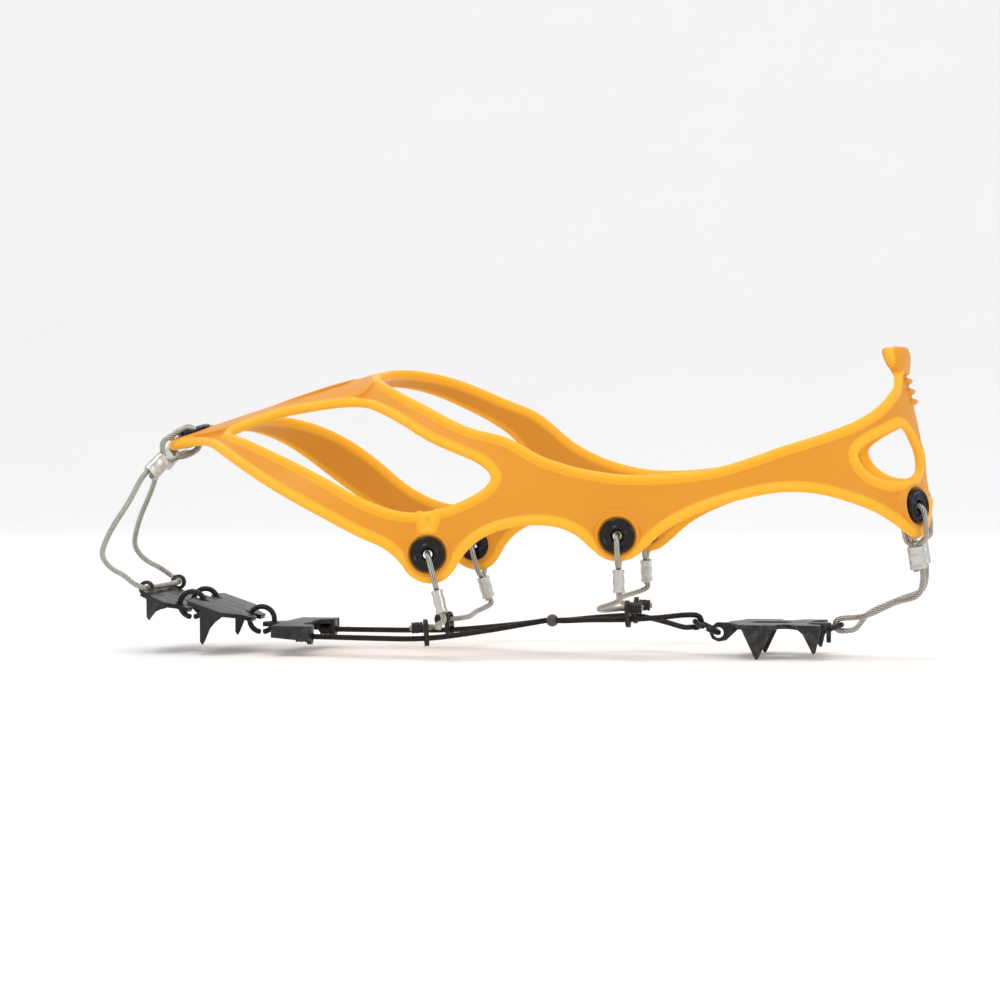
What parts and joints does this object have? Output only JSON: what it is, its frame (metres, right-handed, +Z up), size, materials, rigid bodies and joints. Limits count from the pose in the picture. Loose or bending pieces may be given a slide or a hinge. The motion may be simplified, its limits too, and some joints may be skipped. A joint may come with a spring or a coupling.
{
  "type": "shoe ice cleats",
  "caption": "Elastomer harness that pulls over a running shoe and holds spiked steel plates, rings and steel cables under its sole for grip on snow and ice.",
  "frame": {"origin": "on the ground under the middle of the bounding box, at the height of the longest spikes' tips", "axes": "+X toward the heel, -X toward the toe, +Z up, -Y to the lateral side of a left shoe"},
  "size_m": [0.2774, 0.105, 0.1042],
  "materials": {
    "harness_elastomer": "satin orange elastomer",
    "eyelet_black": "glossy black",
    "cable_steel": "twisted bare steel wire",
    "cable_dark": "twisted black steel wire",
    "crimp_silver": "pressed light metal",
    "plate_black": "satin black hardened steel",
    "bead_grey": "matt grey"
  },
  "bodies": {
    "worn_harness": {"harness": "harness_elastomer", "eyelet_toe": "eyelet_black", "eyelet_ball_lat": "eyelet_black", "eyelet_ball_med": "eyelet_black", "eyelet_arch_lat": "eyelet_black", "eyelet_arch_med": "eyelet_black", "eyelet_heel_lat": "eyelet_black", "eyelet_heel_med": "eyelet_black", "cable_toe": "cable_steel", "cable_long": "cable_dark", "cable_heel": "cable_steel", "cable_ball_lat": "cable_steel", "cable_ball_med": "cable_steel", "cable_arch_lat": "cable_steel", "cable_arch_med": "cable_steel", "ferrule_toe_lat": "crimp_silver", "ferrule_toe_med": "crimp_silver", "ferrule_ball_lat": "crimp_silver", "ferrule_ball_med": "crimp_silver", "ferrule_arch_lat": "crimp_silver", "ferrule_arch_med": "crimp_silver", "ferrule_heel_lat": "crimp_silver", "ferrule_heel_med": "crimp_silver", "stop_long_lat": "plate_black", "stop_long_med": "plate_black", "stop_ball_lat": "plate_black", "stop_ball_med": "plate_black", "stop_arch_lat": "plate_black", "stop_arch_med": "plate_black", "link_ball_lat": "plate_black", "link_ball_med": "plate_black", "link_arch_lat": "plate_black", "link_arch_med": "plate_black", "bead": "bead_grey"},
    "toe_plate": {"plate_toe": "plate_black"},
    "fore_plate": {"plate_fore": "plate_black"},
    "ball_plate": {"plate_ball": "plate_black"},
    "heel_plate": {"plate_heel": "plate_black"},
    "toe_ring_lat": {"ring_toe_lat": "plate_black"},
    "toe_ring_med": {"ring_toe_med": "plate_black"},
    "fore_ring": {"ring_fore": "plate_black"},
    "waist_ring": {"ring_waist": "plate_black"},
    "heel_ring": {"ring_heel": "plate_black"}
  },
  "joints": [
    {"name": "toe_plate_tilt", "type": "hinge", "parent": "worn_harness", "child": "toe_plate", "pos_m": [-0.1222, 0, 0.022], "axis": [0, 1, 0], "range_deg": [-4, 0]},
    {"name": "fore_plate_tilt", "type": "hinge", "parent": "worn_harness", "child": "fore_plate", "pos_m": [-0.10531, 0, 0.01683], "axis": [0, 1, 0], "range_deg": [-2, 2]},
    {"name": "ball_plate_tilt", "type": "hinge", "parent": "worn_harness", "child": "ball_plate", "pos_m": [-0.06623, 0, 0.00622], "axis": [0, 1, 0], "range_deg": [-1.5, 1.5]},
    {"name": "heel_plate_droop", "type": "hinge", "parent": "worn_harness", "child": "heel_plate", "pos_m": [0.0672, 0, 0.0077], "axis": [0, 1, 0], "range_deg": [0, 1.2]},
    {"name": "heel_ring_swing", "type": "hinge", "parent": "heel_plate", "child": "heel_ring", "pos_m": [0.0998, 0, 0.008], "axis": [0, 1, 0], "range_deg": [-6, 0]},
    {"name": "toe_ring_lat_spin", "type": "hinge", "parent": "worn_harness", "child": "toe_ring_lat", "pos_m": [-0.10955, -0.0095, 0.01613], "axis": [0, 1, 0], "continuous": true},
    {"name": "toe_ring_med_spin", "type": "hinge", "parent": "worn_harness", "child": "toe_ring_med", "pos_m": [-0.10955, 0.0095, 0.01613], "axis": [0, 1, 0], "continuous": true},
    {"name": "fore_ring_spin", "type": "hinge", "parent": "worn_harness", "child": "fore_ring", "pos_m": [-0.08777, 0, 0.01072], "axis": [0, 1, 0], "continuous": true},
    {"name": "waist_ring_spin", "type": "hinge", "parent": "worn_harness", "child": "waist_ring", "pos_m": [0.06331, 0, 0.00952], "axis": [0.4226, 0, 0.9063], "continuous": true}
  ],
  "couplings": [
    {"joint": "heel_ring_swing", "follows": "heel_plate_droop", "ratio": -4.9858}
  ]
}
